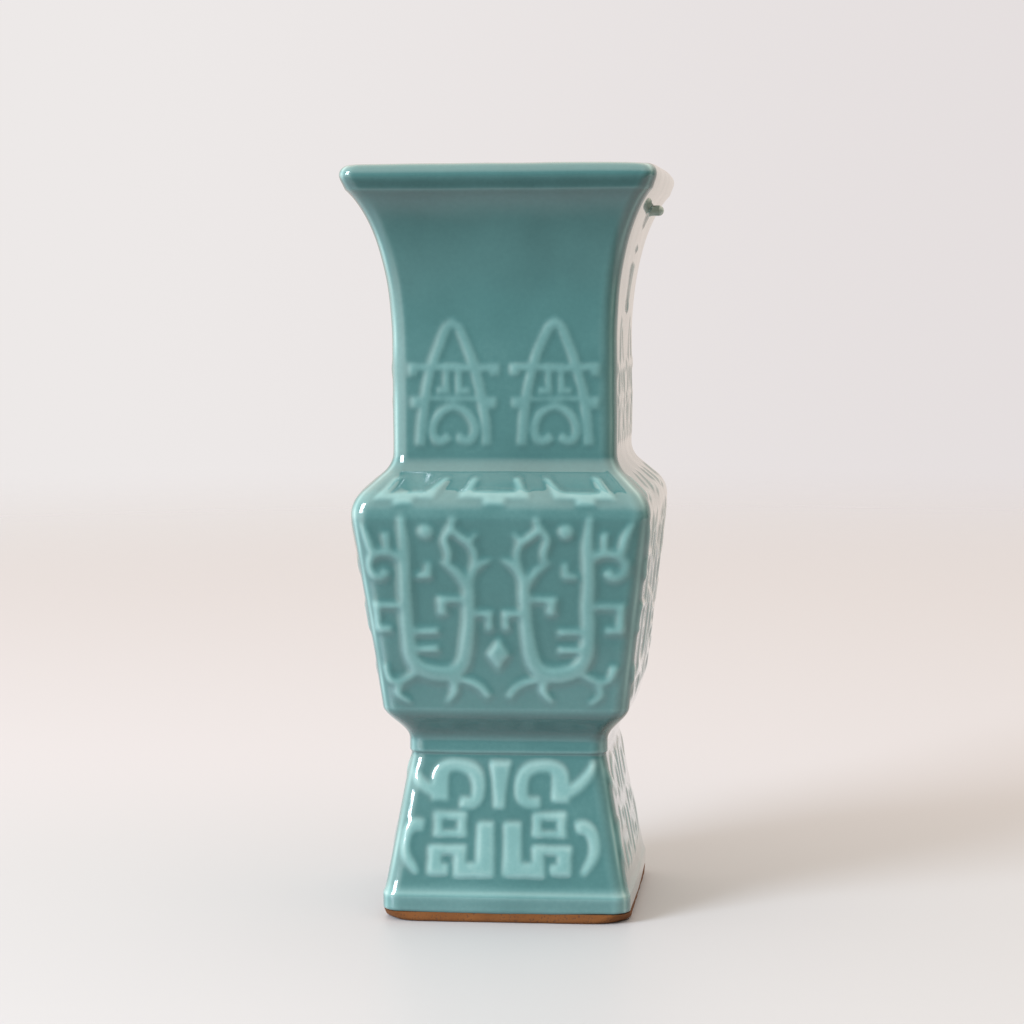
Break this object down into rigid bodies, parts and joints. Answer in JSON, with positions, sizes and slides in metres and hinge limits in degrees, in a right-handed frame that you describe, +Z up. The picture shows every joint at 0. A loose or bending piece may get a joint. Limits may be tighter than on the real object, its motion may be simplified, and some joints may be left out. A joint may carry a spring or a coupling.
{
  "type": "vase",
  "caption": "Square flaring vase on a tapering hollow foot, with an angular belly, a sloping shoulder, a flared mouth and low sprigged ornament, open at the top.",
  "frame": {"origin": "middle of the underside of the foot ring, on the surface that the vase stands on", "axes": "+Z up through the mouth, -Y out of the front face, +X out of the right face"},
  "size_m": [0.0744, 0.0744, 0.1798],
  "materials": {
    "celadon_glaze": "thick glossy blue-green celadon glaze, deeper where it pools and paler where it thins over edges",
    "celadon_relief": "the same glossy celadon glaze, thinner and paler over the raised ornament",
    "bare_clay": "bare fired clay, matte orange-brown"
  },
  "bodies": {
    "root": {"foot_ring": "bare_clay", "plinth_moulding": "celadon_glaze", "foot_wall_front": "celadon_glaze", "foot_wall_right": "celadon_glaze", "foot_wall_back": "celadon_glaze", "foot_wall_left": "celadon_glaze", "floor_plate": "celadon_glaze", "belly_underside_front": "celadon_glaze", "belly_underside_right": "celadon_glaze", "belly_underside_back": "celadon_glaze", "belly_underside_left": "celadon_glaze", "belly_wall_front": "celadon_glaze", "belly_wall_right": "celadon_glaze", "belly_wall_back": "celadon_glaze", "belly_wall_left": "celadon_glaze", "shoulder_front": "celadon_glaze", "shoulder_right": "celadon_glaze", "shoulder_back": "celadon_glaze", "shoulder_left": "celadon_glaze", "neck_wall_front": "celadon_glaze", "neck_wall_right": "celadon_glaze", "neck_wall_back": "celadon_glaze", "neck_wall_left": "celadon_glaze", "mouth_roll": "celadon_glaze", "foot_post_sprigs": "celadon_relief", "foot_hook_sprigs": "celadon_relief", "foot_square_sprigs": "celadon_relief", "foot_fret_sprigs": "celadon_relief", "foot_crescent_sprigs": "celadon_relief", "belly_dragon_sprigs": "celadon_relief", "belly_diamond_sprigs": "celadon_relief", "belly_dot_sprigs": "celadon_relief", "belly_tick_sprigs": "celadon_relief", "shoulder_bracket_sprigs": "celadon_relief", "neck_leaf_sprigs": "celadon_relief", "neck_lotus_sprigs": "celadon_relief", "pendant_drop_sprigs": "celadon_relief", "pendant_bead_sprigs": "celadon_relief", "pendant_leaf_sprigs": "celadon_relief", "pendant_studs": "celadon_relief"}
  },
  "joints": []
}
